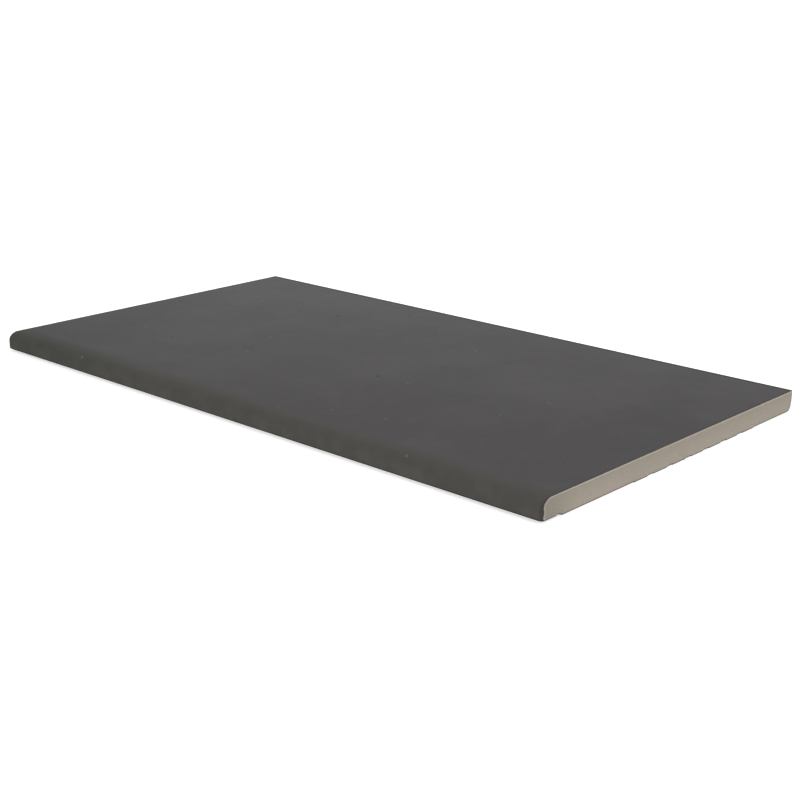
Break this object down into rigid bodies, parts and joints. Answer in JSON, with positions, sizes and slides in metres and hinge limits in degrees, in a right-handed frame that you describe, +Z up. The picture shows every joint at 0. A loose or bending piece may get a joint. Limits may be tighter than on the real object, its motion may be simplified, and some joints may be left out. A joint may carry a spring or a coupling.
{
  "type": "pool coping stone",
  "caption": "Flat porcelain pool coping stone with a rounded nose along one long edge, a drip notch under it and a studded back for the adhesive.",
  "frame": {"origin": "centre of the footprint, at the plane that the studs of the underside rest on", "axes": "+X along the pool's edge, -Y out of the rounded nose towards the water, +Z up out of the glazed top"},
  "size_m": [0.6, 0.325, 0.0164],
  "materials": {
    "matt_glazed_porcelain": "matte"
  },
  "bodies": {
    "root": {"coping_stone": "matt_glazed_porcelain"}
  },
  "joints": []
}
